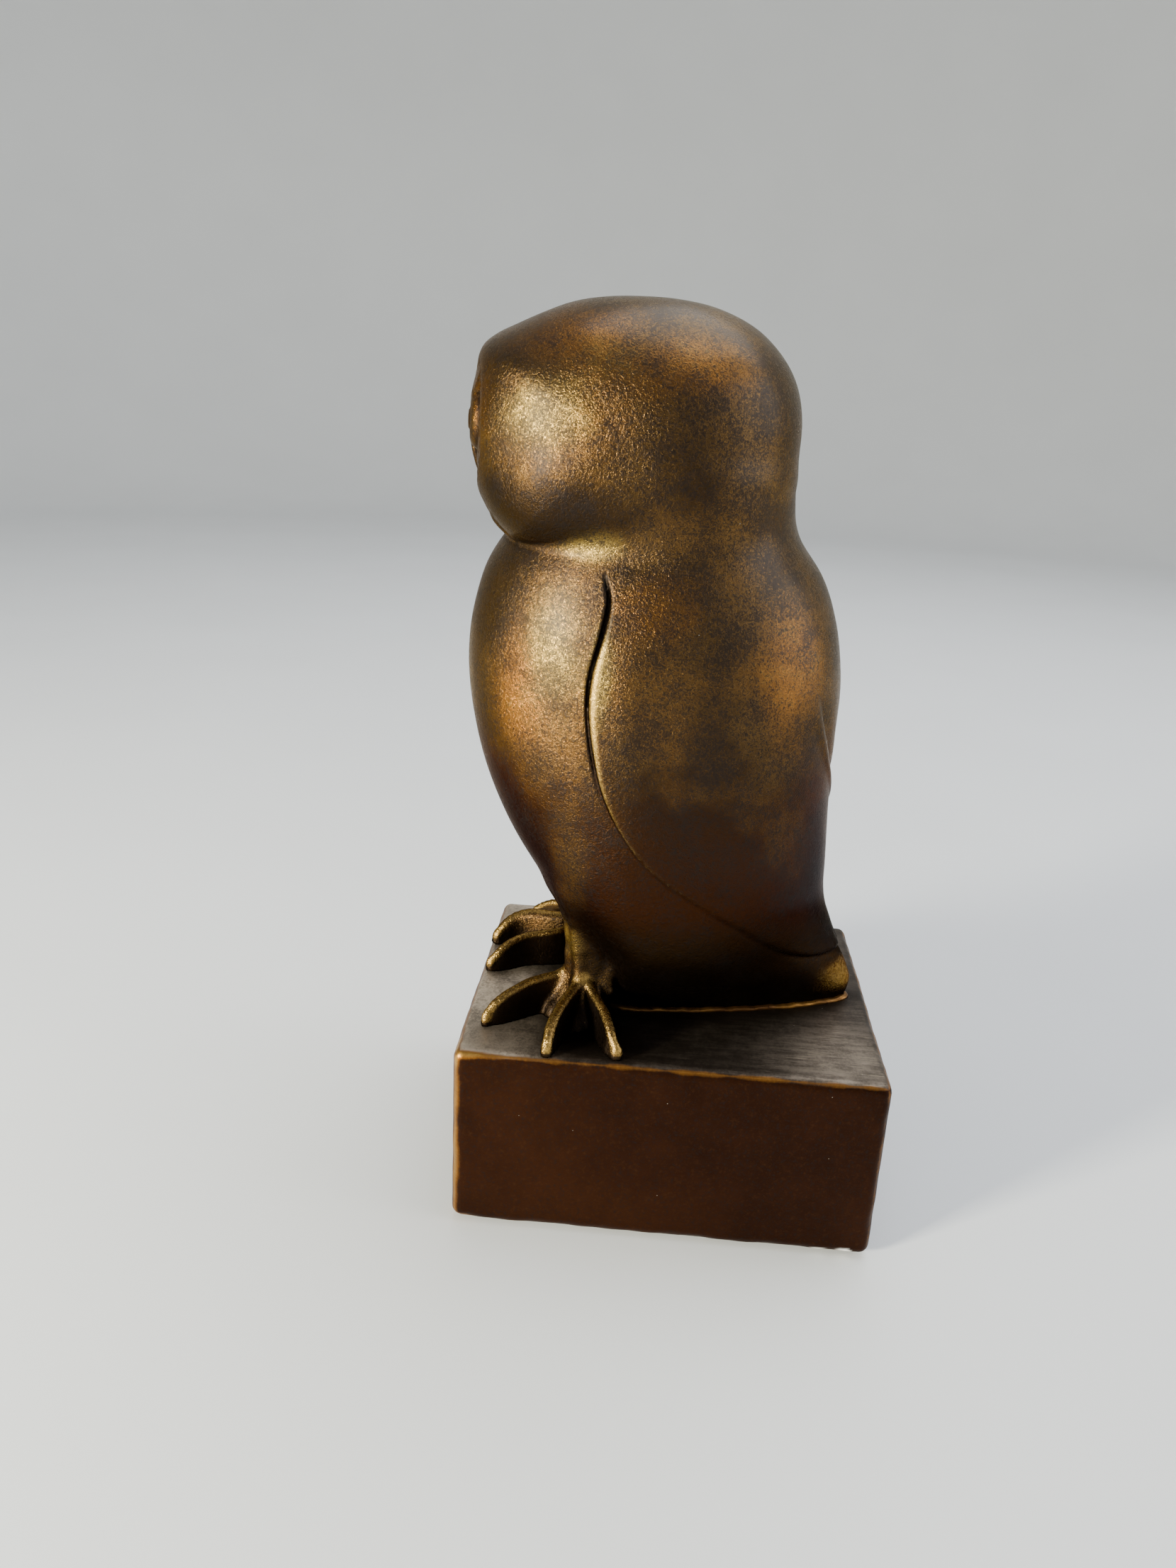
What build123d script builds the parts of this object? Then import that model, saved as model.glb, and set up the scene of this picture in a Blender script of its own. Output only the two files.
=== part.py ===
from build123d import *
from math import cos, pi, sin
import os

# Owl statuette on a rectangular plinth, in millimetres.
# +Z is up, the owl faces -Y, and its left side is +X.
# The origin is the middle of the underside, on the surface it stands on.

# --- driving dimensions ---------------------------------------------------------------------
PLINTH_LENGTH = 110.0  # along Y
PLINTH_WIDTH = 90.8  # along X
PLINTH_TOP = 52.0  # height of the surface that the owl stands on
PLINTH_EDGE = 2.5  # radius of the rubbed edges
FELT = 1.0  # thickness of the pad under the plinth
FELT_INSET = 3.0
FELT_CORNER = 4.0
OWL_HEIGHT = 180.0  # from the plinth's top to the crown

# Body: height above the plinth, front Y, back Y, half width, Y of the widest place,
# and how full the front and the back of that section are (2 is an ellipse).
BODY = [
    (0, -19.0, 48.0, 16.8, -12, 2.6, 1.5),
    (6, -19.0, 49.2, 20.0, -11, 2.5, 1.55),
    (12, -19.5, 47.2, 25.0, -9, 2.3, 1.65),
    (20, -22.5, 42.6, 31.0, -8, 2.1, 1.8),
    (30, -31.5, 39.3, 35.8, -10, 2.0, 2.0),
    (44, -43.8, 38.0, 39.6, -12, 2.0, 2.2),
    (60, -52.4, 37.1, 41.2, -12, 2.0, 2.2),
    (78, -57.7, 36.7, 42.0, -12, 2.1, 2.2),
    (94, -59.3, 36.4, 41.8, -12, 2.1, 2.2),
    (108, -57.6, 33.2, 40.3, -13, 2.1, 2.2),
    (118, -54.3, 28.8, 37.8, -14, 2.1, 2.2),
    (128, -47.5, 21.8, 34.2, -15, 2.1, 2.2),
    (140, -38.0, 16.5, 30.0, -15, 2.1, 2.2),
]
WING_RELIEF = 1.4  # how far the folded wings stand proud of the body
WING_EDGE = [(-22, 119), (-25, 92), (-23.5, 80), (-15, 58), (3, 42), (17, 32), (33, 21)]
WING_BACK = [(30, 60), (26, 92), (4, 116)]

# Head: a turned shape about a vertical axis, as (radius, height above the plinth).
HEAD_Y = -20.0
HEAD_CROWN = [(15.0, 178.6), (29.0, 174.2), (36.6, 168.0), (40.0, 158.0), (40.6, 150.0)]
HEAD_CHEEK = [(40.2, 142.0), (38.2, 133.0), (34.5, 126.0), (29.5, 120.0)]
NECK_RADIUS, NECK_BOTTOM = 22.0, 116.0
EYE_SPACING, EYE_HEIGHT, EYE_RADIUS, EYE_Y = 22.4, 151.0, 7.0, -51.5
DISC_RADIUS, DISC_Y = 42.0, -98.0  # ball that hollows each side of the facial disc
BEAK_TOP, BEAK_TIP = 154.0, 136.0
BEAK_RADIUS, BEAK_Y = 4.0, -57.0

# Legs: (forward shift, height above the plinth, radius), from the sole up into the body.
LEG_SECTIONS = [(0.0, 0.0, 6.0), (0.0, 6.0, 5.4), (0.2, 12.0, 5.6), (0.8, 20.0, 6.8), (4.0, 32.0, 9.5)]
LEFT_ANKLE = (19.8, -22.5)
RIGHT_ANKLE = (-18.3, -24.0)

# Toes: centre-line points (X, Y, height above the plinth, radius), from near the ankle to the claw.
TOE_ROOT = (5.6, 3.5)  # height and radius of every toe where it starts inside the ankle
LEFT_TOES = [
    [(18.8, -31.5, 5.8, 3.1), (21.0, -39.5, 4.8, 2.9), (29.8, -48.6, 0.4, 1.3)],
    [(28.6, -27.6, 5.8, 3.1), (36.5, -30.2, 4.4, 2.8), (43.2, -31.4, 0.4, 1.3)],
    [(29.0, -18.5, 5.2, 3.0), (35.5, -16.0, 4.0, 2.7), (41.8, -13.8, 0.4, 1.3)],
]
RIGHT_TOES = [
    [(-12.2, -32.4, 5.6, 3.0), (-8.0, -41.0, 4.6, 2.8), (-1.8, -52.2, 0.4, 1.3)],
    [(-20.6, -33.5, 5.2, 3.4), (-21.4, -42.0, 4.2, 3.4), (-18.2, -52.4, 0.4, 1.5)],
    [(-27.4, -29.8, 5.4, 3.2), (-34.0, -35.0, 4.2, 3.0), (-40.0, -41.8, 0.4, 1.3)],
]

# What holds the owl to the plinth.
ROD_RADIUS = 2.0
LEFT_ROD, RIGHT_ROD = (17.8, -22.5), (-16.3, -24.0)
ROD_BELOW, ROD_ABOVE = 26.0, 40.0  # how far a leg rod goes into the plinth and into the figure
DOWEL_RADIUS = 3.0
DOWEL_AT = (0.0, 24.0)
DOWEL_BELOW, DOWEL_ABOVE = 20.0, 26.0
BEAD_WIDTH, BEAD_HEIGHT = 1.8, 0.9  # line of bedding compound round the foot of the body

SECTION_POINTS = 16


# --- shared outlines --------------------------------------------------------------------------
def section_points(front, back, half, widest, fullness_front, fullness_back, grow=0.0):
    """Points of one level section of the body, an oval with its own front and back."""
    points = []
    for step in range(SECTION_POINTS):
        angle = 2 * pi * step / SECTION_POINTS
        across, along = cos(angle), sin(angle)
        fullness = fullness_back if along > 0 else fullness_front
        reach = (back - widest + grow) if along > 0 else (widest - front + grow)
        x = (half + grow) * abs(across) ** (2 / fullness) * (1 if across > 0 else -1)
        y = widest + reach * abs(along) ** (2 / fullness) * (1 if along > 0 else -1)
        points.append((x, y))
    return points


def write(part, label):
    """Label a finished piece and write its STEP file."""
    part.label = label
    export_step(part, f"parts/{label}.step")


# --- owl figure: one casting ------------------------------------------------------------------
with BuildPart() as body:
    for height, *shape in BODY:
        with BuildSketch(Plane.XY.offset(PLINTH_TOP + height)):
            with BuildLine():
                Spline(*section_points(*shape), periodic=True)
            make_face()
    loft()

with BuildPart() as wings:
    for height, *shape in BODY[3:-1]:
        with BuildSketch(Plane.XY.offset(PLINTH_TOP + height)):
            with BuildLine():
                Spline(*section_points(*shape, grow=WING_RELIEF), periodic=True)
            make_face()
    loft()
    with BuildSketch(Plane.YZ.offset(-60)):
        with BuildLine():
            lower = Spline(*[(y, PLINTH_TOP + h) for y, h in WING_EDGE])
            Spline(lower @ 1, *[(y, PLINTH_TOP + h) for y, h in WING_BACK], lower @ 0)
        make_face()
    extrude(amount=120, mode=Mode.INTERSECT)

with BuildPart() as head:
    with BuildSketch(Plane((0, HEAD_Y, 0), x_dir=(1, 0, 0), z_dir=(0, -1, 0))):
        with BuildLine():
            crown = [(r, PLINTH_TOP + h) for r, h in HEAD_CROWN]
            cheek = [(r, PLINTH_TOP + h) for r, h in HEAD_CHEEK]
            top = (0, PLINTH_TOP + OWL_HEIGHT)
            side = Spline(top, *crown, *cheek, tangents=[(1, 0), (-1, -1)])
            Polyline(side @ 1, (NECK_RADIUS, PLINTH_TOP + NECK_BOTTOM), (0, PLINTH_TOP + NECK_BOTTOM), top)
        make_face()
    revolve(axis=Axis((0, HEAD_Y, 0), (0, 0, 1)))
    with Locations(*[(side * EYE_SPACING / 2, DISC_Y, PLINTH_TOP + EYE_HEIGHT) for side in (-1, 1)]):
        Sphere(DISC_RADIUS, mode=Mode.SUBTRACT)
    with Locations(*[(side * EYE_SPACING / 2, EYE_Y, PLINTH_TOP + EYE_HEIGHT) for side in (-1, 1)]):
        Sphere(EYE_RADIUS)
    with Locations(Location((0, BEAK_Y, PLINTH_TOP + (BEAK_TOP + BEAK_TIP) / 2), (180, 0, 0))):
        Cone(BEAK_RADIUS, 1.0, BEAK_TOP - BEAK_TIP)


def make_leg(ankle, toes):
    """One leg with its foot: a flared column and the toes that spread from it."""
    x, y = ankle
    with BuildPart() as leg:
        for shift, height, radius in LEG_SECTIONS:
            with BuildSketch(Plane((x - shift * x / 40, y + shift, PLINTH_TOP + height))):
                Circle(radius)
        loft()
        for toe in toes:
            root_height, root_radius = TOE_ROOT
            sections = [(x, y, root_height, root_radius), *toe]
            points = [Vector(px, py, PLINTH_TOP + height) for px, py, height, radius in sections]
            for i, (px, py, height, radius) in enumerate(sections):
                ahead = points[min(i + 1, len(points) - 1)] - points[max(i - 1, 0)]
                with BuildSketch(Plane(points[i], z_dir=ahead)):
                    Circle(radius)
            loft()
            with Locations(points[-1]):
                Sphere(radius)
        split(bisect_by=Plane.XY.offset(PLINTH_TOP), keep=Keep.TOP)
    return leg.part


left_leg = make_leg(LEFT_ANKLE, LEFT_TOES)
right_leg = make_leg(RIGHT_ANKLE, RIGHT_TOES)

with BuildPart() as owl_figure:
    add(body.part)
    add(wings.part)
    add(head.part)
    add(left_leg)
    add(right_leg)
    with BuildSketch(Plane.XY.offset(PLINTH_TOP)):
        with Locations(LEFT_ROD, RIGHT_ROD):
            Circle(ROD_RADIUS)
    extrude(amount=ROD_ABOVE, mode=Mode.SUBTRACT)
    with BuildSketch(Plane.XY.offset(PLINTH_TOP)):
        with Locations(DOWEL_AT):
            Circle(DOWEL_RADIUS)
    extrude(amount=DOWEL_ABOVE, mode=Mode.SUBTRACT)

# --- plinth: a solid block with three sockets in its top ------------------------------------------
with BuildPart() as plinth:
    with BuildSketch(Plane.XY.offset(FELT)):
        Rectangle(PLINTH_WIDTH, PLINTH_LENGTH)
    extrude(amount=PLINTH_TOP - FELT)
    fillet(plinth.edges(), PLINTH_EDGE)
    with BuildSketch(Plane.XY.offset(PLINTH_TOP)):
        with Locations(LEFT_ROD, RIGHT_ROD):
            Circle(ROD_RADIUS)
    extrude(amount=-ROD_BELOW, mode=Mode.SUBTRACT)
    with BuildSketch(Plane.XY.offset(PLINTH_TOP)):
        with Locations(DOWEL_AT):
            Circle(DOWEL_RADIUS)
    extrude(amount=-DOWEL_BELOW, mode=Mode.SUBTRACT)


# --- hidden fixings ---------------------------------------------------------------------------
def make_rod(place, radius, below, above):
    """A straight pin across the joint between the plinth and the figure."""
    with BuildPart() as rod:
        with BuildSketch(Plane((*place, PLINTH_TOP - below))):
            Circle(radius)
        extrude(amount=below + above)
    return rod.part


left_leg_rod = make_rod(LEFT_ROD, ROD_RADIUS, ROD_BELOW, ROD_ABOVE)
right_leg_rod = make_rod(RIGHT_ROD, ROD_RADIUS, ROD_BELOW, ROD_ABOVE)
tail_dowel = make_rod(DOWEL_AT, DOWEL_RADIUS, DOWEL_BELOW, DOWEL_ABOVE)

# --- bedding bead and felt --------------------------------------------------------------------
with BuildPart() as bedding_bead:
    with BuildSketch(Plane.XY.offset(PLINTH_TOP)):
        with BuildLine():
            Spline(*section_points(*BODY[0][1:], grow=BEAD_WIDTH), periodic=True)
        make_face()
    extrude(amount=BEAD_HEIGHT)
    add(body.part, mode=Mode.SUBTRACT)
    add(left_leg, mode=Mode.SUBTRACT)
    add(right_leg, mode=Mode.SUBTRACT)

with BuildPart() as felt_pad:
    with BuildSketch():
        RectangleRounded(PLINTH_WIDTH - 2 * FELT_INSET, PLINTH_LENGTH - 2 * FELT_INSET, FELT_CORNER)
    extrude(amount=FELT)

os.makedirs("parts", exist_ok=True)
write(owl_figure.part, "owl_figure")
write(plinth.part, "plinth")
write(left_leg_rod, "left_leg_rod")
write(right_leg_rod, "right_leg_rod")
write(tail_dowel, "tail_dowel")
write(bedding_bead.part, "bedding_bead")
write(felt_pad.part, "felt_pad")
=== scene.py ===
import bpy
import numpy as np
from mathutils import Matrix, Vector


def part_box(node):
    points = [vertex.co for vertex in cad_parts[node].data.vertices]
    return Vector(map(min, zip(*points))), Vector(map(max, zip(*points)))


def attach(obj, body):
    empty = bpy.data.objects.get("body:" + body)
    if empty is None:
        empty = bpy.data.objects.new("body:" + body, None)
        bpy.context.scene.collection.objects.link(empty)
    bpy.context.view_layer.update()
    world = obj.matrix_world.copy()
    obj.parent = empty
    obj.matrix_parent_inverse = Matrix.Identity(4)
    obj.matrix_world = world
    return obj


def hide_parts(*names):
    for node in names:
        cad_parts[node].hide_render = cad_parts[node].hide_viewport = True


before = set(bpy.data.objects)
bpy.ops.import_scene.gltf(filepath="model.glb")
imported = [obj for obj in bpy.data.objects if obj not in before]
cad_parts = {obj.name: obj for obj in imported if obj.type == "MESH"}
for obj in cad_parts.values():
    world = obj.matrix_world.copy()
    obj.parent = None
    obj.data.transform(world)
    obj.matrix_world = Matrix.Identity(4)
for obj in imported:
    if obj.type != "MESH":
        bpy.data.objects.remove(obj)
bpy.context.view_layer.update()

# Owl statuette: a bronze-painted casting on a rectangular plinth.
# Sculpting is done in millimetres and written to Blender in metres. +Z is up, the owl faces -Y,
# its left side is +X, and h is height above the plinth's top.

MM = 0.001
FAR = 1e9


def box_mm(node):
    """Lowest and highest corner of a CAD node, in millimetres."""
    return [np.array(corner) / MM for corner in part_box(node)]


PLINTH_LOW, PLINTH_HIGH = box_mm("plinth")
OWL_LOW, OWL_HIGH = box_mm("owl_figure")
TOP = PLINTH_HIGH[2]
CROWN = OWL_HIGH[2] - TOP


# --- small mathematics
def curve(points):
    """A smooth function through (position, value) points that are given in order."""
    xs, ys = np.array(points, float).T
    gaps = np.diff(xs)
    slopes = np.diff(ys) / gaps
    middle = (slopes[1:] * gaps[:-1] + slopes[:-1] * gaps[1:]) / (gaps[1:] + gaps[:-1])
    tangents = np.concatenate([slopes[:1], middle, slopes[-1:]])

    def value(position):
        p = np.clip(position, xs[0], xs[-1])
        i = np.clip(np.searchsorted(xs, p, side="right") - 1, 0, len(xs) - 2)
        gap = gaps[i]
        u = (p - xs[i]) / gap
        start = (1 + 2 * u) * (1 - u) ** 2 * ys[i] + u * (1 - u) ** 2 * gap * tangents[i]
        end = u * u * (3 - 2 * u) * ys[i + 1] + u * u * (u - 1) * gap * tangents[i + 1]
        return start + end

    return value


def ramp(low, high, value):
    """0 below low, 1 above high, and smooth between them. Low may be the larger."""
    u = np.clip((value - low) / (high - low), 0, 1)
    return u * u * (3 - 2 * u)


def bump(value, width):
    """A bell of height 1 at value 0."""
    return np.exp(-((value / width) ** 2))


def smooth_min(a, b, blend):
    """The smaller of two distances, rounded where they are within blend of each other."""
    overlap = np.maximum(blend - np.abs(a - b), 0) / blend
    return np.minimum(a, b) - overlap * overlap * blend * 0.25


def smooth_max(a, b, blend):
    return -smooth_min(-a, -b, blend)


def path_points(points, per_span=6):
    """A smooth path through points, as many values each as they have."""
    points = np.array(points, float)
    steps = np.arange(len(points))
    fine = np.linspace(0, len(points) - 1, (len(points) - 1) * per_span + 1)
    return np.stack([curve(np.stack([steps, column], 1))(fine) for column in points.T], 1)


def signed_to_path(u, v, path):
    """Distance to a path in a plane, positive on its left hand, with the height there."""
    best = np.full(u.shape, FAR)
    sign = np.ones(u.shape)
    at = np.zeros(u.shape)
    for (u0, v0), (u1, v1) in zip(path[:-1], path[1:]):
        du, dv = u1 - u0, v1 - v0
        t = np.clip(((u - u0) * du + (v - v0) * dv) / (du * du + dv * dv), 0, 1)
        pu, pv = u - u0 - t * du, v - v0 - t * dv
        distance = pu * pu + pv * pv
        nearer = distance < best
        best = np.where(nearer, distance, best)
        sign = np.where(nearer, np.sign(du * pv - dv * pu), sign)
        at = np.where(nearer, v0 + t * dv, at)
    return np.sqrt(best) * sign, at


# --- body
# Height above the plinth, front Y, back Y, half width, Y of the widest place, and how full the
# front and the back of that level section are (2 is an ellipse).
BODY = [
    (0, -19.0, 48.4, 16.8, -12, 3.0, 1.42),
    (6, -19.0, 49.6, 20.0, -11, 2.8, 1.55),
    (12, -19.5, 47.2, 25.0, -9, 2.4, 1.65),
    (20, -22.5, 42.6, 31.0, -8, 2.1, 1.75),
    (29, -31.0, 39.3, 35.5, -10, 2.0, 2.0),
    (36, -38.0, 38.5, 38.0, -11, 2.0, 2.1),
    (44, -43.8, 38.0, 39.6, -12, 2.0, 2.2),
    (60, -52.4, 37.1, 41.2, -12, 2.05, 2.2),
    (78, -57.7, 36.7, 42.0, -12, 2.1, 2.2),
    (94, -59.3, 36.4, 41.8, -12, 2.1, 2.2),
    (108, -57.6, 33.2, 40.3, -13, 2.1, 2.2),
    (118, -54.3, 28.8, 37.8, -14, 2.1, 2.2),
    (126, -49.3, 23.0, 35.0, -15, 2.1, 2.2),
    (138, -40.0, 16.5, 31.0, -15, 2.1, 2.2),
]
BODY_TOP = 136.0
BODY_CURVES = [curve([(row[0], row[i]) for row in BODY]) for i in range(1, 7)]


def body_field(x, y, h):
    """Signed distance, nearly, to the body without its wings."""
    front, back, half, widest, full_front, full_back = (c(h) for c in BODY_CURVES)
    ahead = y < widest
    along = np.where(ahead, (widest - y) / (widest - front), (y - widest) / (back - widest))
    full = np.where(ahead, full_front, full_back)
    size = ((np.abs(x) / half) ** full + along**full) ** (1 / full)
    reach = np.hypot(x, y - widest)
    side = reach * (1 - 1 / np.maximum(size, 1e-3))
    return smooth_max(side, h - BODY_TOP, 4.0)


# --- head
HEAD_CENTRE_Y, HEAD_CENTRE_H = -20.0, 149.0
HEAD_HALF = 40.0
HEAD_FULL, HEAD_FULL_BELOW = 2.35, 3.1
# Distance from the head's centre to its outline, seen from the side, against the angle in degrees:
# 0 is the nape's side, 90 the crown, 152 the brow's corner and 180 the face.
HEAD_OUTLINE = curve([
    (-138, 37.8), (-120, 33.2), (-90, 31.0), (-60, 31.8), (-40, 34.5), (-19, 38.6), (-8, 39.8),
    (6, 40.3), (21, 40.0), (37, 38.0), (56, 34.5), (72, 32.1), (90, 30.9), (106, 31.5),
    (118, 32.8), (130, 34.6), (141, 37.3), (147, 39.4), (152, 40.8), (161, 40.5), (170, 40.2),
    (180, 40.0), (190, 39.7), (200, 39.4), (210, 38.9), (222, 37.8),
])
# Angles below this one are counted on past 180.
HEAD_WRAP = -138.0


def head_field(x, y, h):
    """Signed distance, nearly, to the round head without its face."""
    along, up = y - HEAD_CENTRE_Y, h - HEAD_CENTRE_H
    reach = np.hypot(along, up)
    angle = np.degrees(np.arctan2(up, along))
    outline = HEAD_OUTLINE(np.where(angle < HEAD_WRAP, angle + 360, angle))
    full = HEAD_FULL + (HEAD_FULL_BELOW - HEAD_FULL) * ramp(-0.1, -0.7, up / np.maximum(reach, 1e-3))
    size = ((np.abs(x) / HEAD_HALF) ** full + (reach / outline) ** full) ** (1 / full)
    return np.sqrt(x * x + reach * reach) * (1 - 1 / np.maximum(size, 1e-3))


# --- face: two round discs with feather lines, half-lidded eyes and a short beak
DISC_X, DISC_H, DISC_HALF_X, DISC_HALF_H = 12.4, 150.0, 13.2, 15.6
DISC_DEPTH, FEATHERS = 1.3, 22
EYE_X, EYE_H, EYE_RADIUS, PUPIL_RADIUS = 11.2, 151.0, 7.0, 3.1
# The upper lid's lower edge: its height at the middle of the face, and how it rises outwards.
LID_H, LID_RISE = 153.6, 0.20
BEAK_WIDE, BEAK_TIP = 147.0, 136.0
# Half width of the beak and of the bridge above it, by height.
BRIDGE_HALF = curve([(BEAK_TIP - 1, 0.2), (BEAK_TIP + 2, 1.5), (BEAK_WIDE - 2, 3.4), (149, 3.4), (153, 2.9),
                     (158, 2.9), (163, 4.2), (167, 7.5)])
# The ridge under the face, from its middle outwards, and the grooves beside it: how far off, how deep.
RUFF = path_points([(-6.0, 131.6), (0.0, 131.2), (9.0, 130.0), (16.0, 128.0), (20.0, 125.6),
                    (21.6, 124.0)], 3)
RUFF_GROOVES = ((-1.1, 0.30), (1.5, 0.40), (3.0, 0.34), (4.5, 0.28))


def face_relief(x, h):
    """Height added to the front of the head, negative where it is hollowed."""
    side = np.abs(x)
    across, up = (side - DISC_X) / DISC_HALF_X, (h - DISC_H) / DISC_HALF_H
    inside = 1 - np.hypot(across, up)
    dish = -DISC_DEPTH * ramp(0.0, 0.34, inside)
    lines = 0.20 * np.cos(FEATHERS * np.arctan2(up, across))
    dish += -0.10 + lines * ramp(0.04, 0.12, inside) * ramp(0.40, 0.30, inside)
    from_eye = np.hypot(side - EYE_X, h - EYE_H)
    dome = np.sqrt(np.maximum(1 - (from_eye / EYE_RADIUS) ** 2, 0))
    eye = dish + 1.25 * dome - 0.8 * bump(from_eye - EYE_RADIUS - 0.5, 1.0)
    eye -= 0.50 * bump(from_eye - PUPIL_RADIUS, 0.6)
    lid_line = h - (LID_H + LID_RISE * side)
    lid = np.maximum(eye, -0.30 - 0.04 * np.maximum(lid_line, 0))
    surface = eye + (lid - eye) * ramp(-0.5, 0.7, lid_line) * ramp(0.02, 0.20, inside) * ramp(20, 17, side)
    centre_half = BRIDGE_HALF(h)
    above_tip = ramp(BEAK_TIP - 0.8, BEAK_TIP + 0.8, h)
    surface = surface * (1 - ramp(centre_half + 1.5, centre_half, side) * above_tip)
    beside_beak = np.maximum(side - centre_half, 0)
    beak_height = ramp(BEAK_TIP - 4.5, BEAK_TIP - 0.5, h) * ramp(153, 147, h)
    hollow = -1.3 * ramp(0.0, 1.1, beside_beak) * ramp(6.5, 1.5, beside_beak) * beak_height
    surface = np.minimum(surface, hollow)
    nostril = -0.45 * bump(np.hypot(side - 1.9, (h - BEAK_WIDE - 0.5) / 1.4), 0.7)
    return surface + nostril


def chin_ruff(x, h):
    """A narrow ridge with fine grooves beside it, under each side of the face only."""
    side = np.abs(x)
    above, _ = signed_to_path(side, h, RUFF)
    above = np.where(side > RUFF[-1][0], np.abs(above), above)
    grooves = sum(depth * bump(above - at, 0.55) for at, depth in RUFF_GROOVES)
    return (0.35 * bump(above, 0.8) - grooves) * ramp(24.0, 20.5, side) * ramp(11.0, 17.0, side)


# --- wings
# The edge of the folded wing on the side of the body, as (Y, height), from the pointed top of the
# slit to the tail.
WING_EDGE = [
    (-22.9, 119.5), (-21.6, 115.2), (-21.7, 111.5), (-22.7, 106.2), (-23.8, 101.7), (-24.8, 97.0),
    (-25.1, 90.0), (-23.8, 80.3), (-20.7, 68.8), (-14.8, 58.0), (-7.8, 49.9), (3.1, 41.8),
    (15.9, 32.6), (26.1, 23.5), (33.0, 19.4), (38.5, 17.6), (44.5, 16.6), (50.0, 16.4),
]
# Along that edge, by height: how proud the wing stands, the depth and the width of the slit.
WING_STEP = curve([(15, 1.5), (18, 1.4), (21, 0.9), (26, 0.55), (34, 0.5), (44, 0.6), (56, 0.85),
                   (70, 1.15), (85, 1.35), (98, 1.3), (108, 0.9), (115, 0.4), (119.5, 0.0)])
SLIT_DEPTH = curve([(15, 0.35), (19, 0.3), (24, 0.08), (34, 0.04), (44, 0.05), (58, 0.12), (74, 0.5),
                    (88, 0.9), (98, 1.3), (108, 1.6), (114, 1.6), (117.5, 1.0), (119.5, 0.4), (121, 0.0)])
SLIT_HALF = curve([(15, 0.6), (58, 0.45), (80, 0.40), (92, 0.38), (100, 0.38), (107, 0.42), (113, 0.42),
                   (119.5, 0.3)])
# Half width of the mantle between the wings on the back, by height: a V that closes at the bottom.
MANTLE_HALF = curve([(56, -3.0), (60, 0.6), (64.5, 6.0), (69.2, 10.8), (73.4, 14.8), (79.7, 19.1),
                     (83.2, 21.4), (88.8, 24.4), (92.4, 25.9), (100, 27.5)])
MANTLE_STEP = curve([(56, 1.0), (66, 1.3), (78, 1.2), (86, 0.8), (92, 0.2), (95, 0.0)])
WING_PATH = path_points(WING_EDGE, 3)
WING_TOP = 121


def wing_relief(x, y, h):
    """Height added by the folded wings, with the slit along their front edge cut in."""
    near = (h > 10) & (h < 126)
    relief = np.zeros(x.shape)
    xs, ys, hs = x[near], y[near], h[near]
    inside, edge_h = signed_to_path(ys, hs, WING_PATH)
    slit_half = SLIT_HALF(edge_h)
    slit = SLIT_DEPTH(edge_h) * bump(inside + slit_half, slit_half * 0.9)
    roll = (1 - (1 - np.clip((inside + 0.4) / 1.9, 0, 1)) ** 2) * ramp(-0.45, 0.45, inside)
    proud = WING_STEP(edge_h) * roll * ramp(34, 10, inside) * ramp(20, 6, np.abs(inside))
    on_side = ramp(4, 9, np.abs(xs))
    tail_end = ramp(20, 32, ys)
    found = (proud - slit) * (np.maximum(on_side, tail_end) * (hs <= WING_TOP))
    # the back: the wings stand over the mantle, and meet in a fine seam below it
    mantle = MANTLE_HALF(hs) - np.abs(xs)
    back = ramp(10, 18, ys)
    step = MANTLE_STEP(hs)
    found += -step * bump(np.minimum(mantle - 0.9, 0), 0.55) * bump(np.maximum(mantle - 0.9, 0), 5.0) * back
    found += 0.3 * step * bump(mantle + 1.6, 1.6) * back
    seam = ramp(62, 58, hs) * ramp(15.5, 18, hs) * ramp(20, 28, ys)
    found -= (0.9 * bump(xs, 0.65) + 0.5 * bump(xs, 3.0)) * seam
    relief[near] = found
    return relief


# --- legs and feet
def capsules(x, y, h, points, blend):
    """Distance to round bars through (X, Y, height, radius) points, blended where they meet."""
    total = FAR
    for (x0, y0, h0, r0), (x1, y1, h1, r1) in zip(points[:-1], points[1:]):
        dx, dy, dh = x1 - x0, y1 - y0, h1 - h0
        t = np.clip(((x - x0) * dx + (y - y0) * dy + (h - h0) * dh) / (dx * dx + dy * dy + dh * dh), 0, 1)
        gap = np.sqrt((x - x0 - t * dx) ** 2 + (y - y0 - t * dy) ** 2 + (h - h0 - t * dh) ** 2)
        total = smooth_min(total, gap - (r0 + (r1 - r0) * t), blend)
    return total


# How fast a toe widens below its crest, and its crest's half width as a share of the one given.
FIN_SPREAD, CREST_SHARE = 0.13, 0.84


def toe_field(x, y, h, crest):
    """A toe as an arched fin: round along its crest (X, Y, height, half width), upright below it."""
    best = FAR
    for (x0, y0, h0, r0), (x1, y1, h1, r1) in zip(crest[:-1], crest[1:]):
        dx, dy = x1 - x0, y1 - y0
        t = np.clip(((x - x0) * dx + (y - y0) * dy) / max(dx * dx + dy * dy, 1e-6), 0, 1)
        half = CREST_SHARE * (r0 + (r1 - r0) * t)
        below_crest = h - (h0 + (h1 - h0) * t - half)
        gap = np.hypot(x - x0 - t * dx, y - y0 - t * dy)
        wider = np.maximum(-below_crest, 0)
        best = np.minimum(best, np.hypot(gap, np.maximum(below_crest, 0)) - half - FIN_SPREAD * wider)
    return best


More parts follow.
